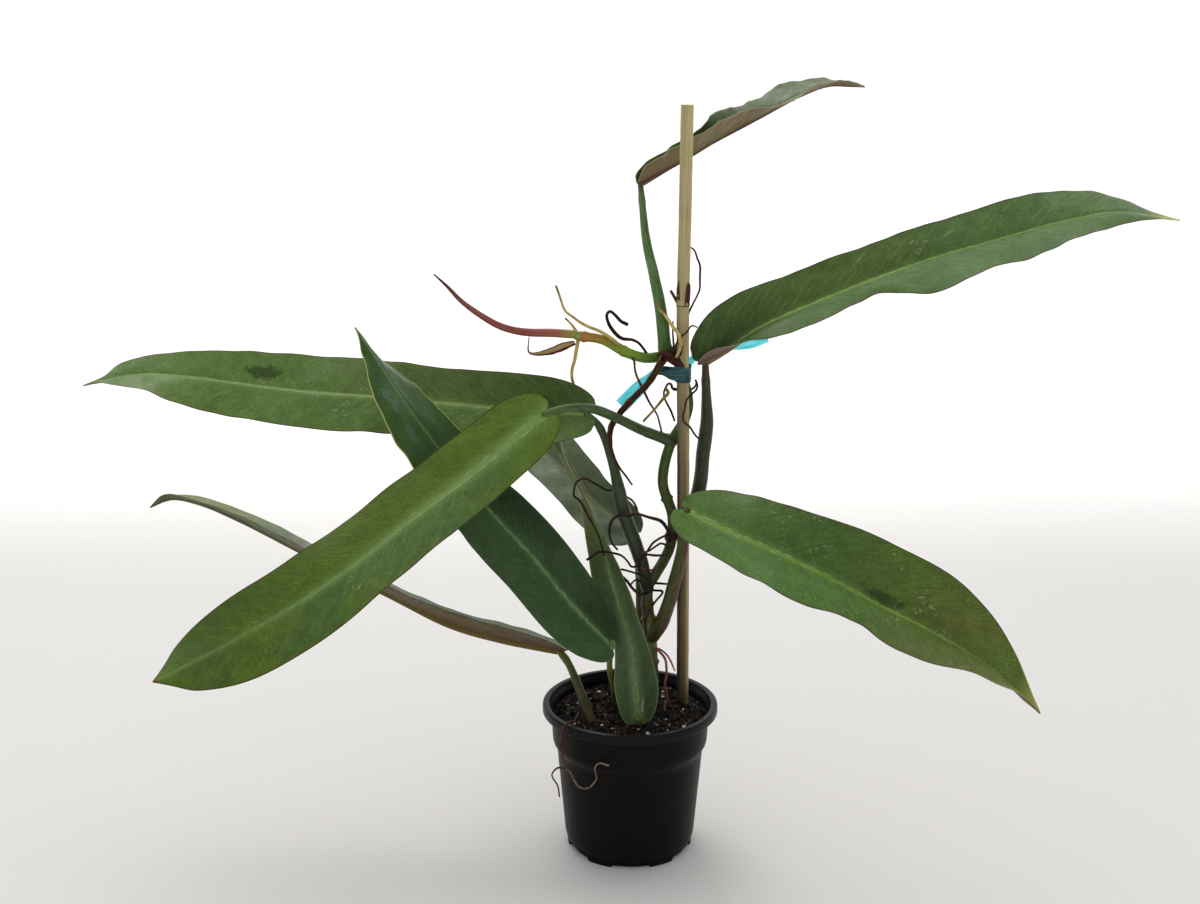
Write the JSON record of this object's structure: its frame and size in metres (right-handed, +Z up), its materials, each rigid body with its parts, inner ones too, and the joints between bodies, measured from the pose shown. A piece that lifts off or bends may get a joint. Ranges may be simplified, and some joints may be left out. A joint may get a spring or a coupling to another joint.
{
  "type": "potted bicolor philodendron",
  "caption": "Climbing aroid with long strap-shaped leaves on curved stalks, tied to an upright cane in a round lipped nursery pot filled with soil.",
  "frame": {"origin": "centre of the pot's underside, on the pot's axis, level with its feet", "axes": "+Z up along the pot's axis; +X along the widest spread of the leaves, to the right seen from the front; the plant's front faces -Y"},
  "size_m": [0.7471, 0.3593, 0.5178],
  "materials": {
    "pot_plastic": "satin black moulded nursery pot",
    "peat": "dark peat mix with white grit",
    "bamboo": "dry bamboo cane",
    "tie_film": "thin stretch tape",
    "stem_skin": "brown-green living stem with ring scars",
    "shoot_skin": "glossy golden-green young shoot",
    "spear_skin": "red unopened leaf",
    "dry_scale": "dry brown papery scale",
    "root_skin": "thin brown aerial root",
    "leaf_green": "leathery satin leaf",
    "leaf_grey": "older grey-green leaf",
    "leaf_young": "young folded leaf with a brown back",
    "stalk_green": "smooth dark green leaf stalk",
    "stalk_olive": "olive leaf stalk"
  },
  "bodies": {
    "root": {"pot": "pot_plastic", "soil": "peat", "cane": "bamboo", "tie": "tie_film", "main_stem": "stem_skin", "long_scale": "dry_scale", "shoot": "shoot_skin", "spear": "spear_skin", "bud_sheath": "dry_scale", "rim_root": "root_skin", "leaf_1_blade": "leaf_green", "leaf_1_stalk": "stalk_green", "leaf_2_blade": "leaf_green", "leaf_2_stalk": "stalk_green", "leaf_3_blade": "leaf_green", "leaf_3_stalk": "stalk_green", "leaf_4_blade": "leaf_green", "leaf_4_stalk": "stalk_olive", "leaf_5_blade": "leaf_green", "leaf_5_stalk": "stalk_olive", "leaf_6_blade": "leaf_grey", "leaf_6_stalk": "stalk_olive", "leaf_7_blade": "leaf_young", "leaf_7_stalk": "stalk_green", "leaf_8_blade": "leaf_green", "leaf_8_stalk": "stalk_green", "leaf_9_blade": "leaf_green", "leaf_9_stalk": "stalk_olive"}
  },
  "joints": []
}
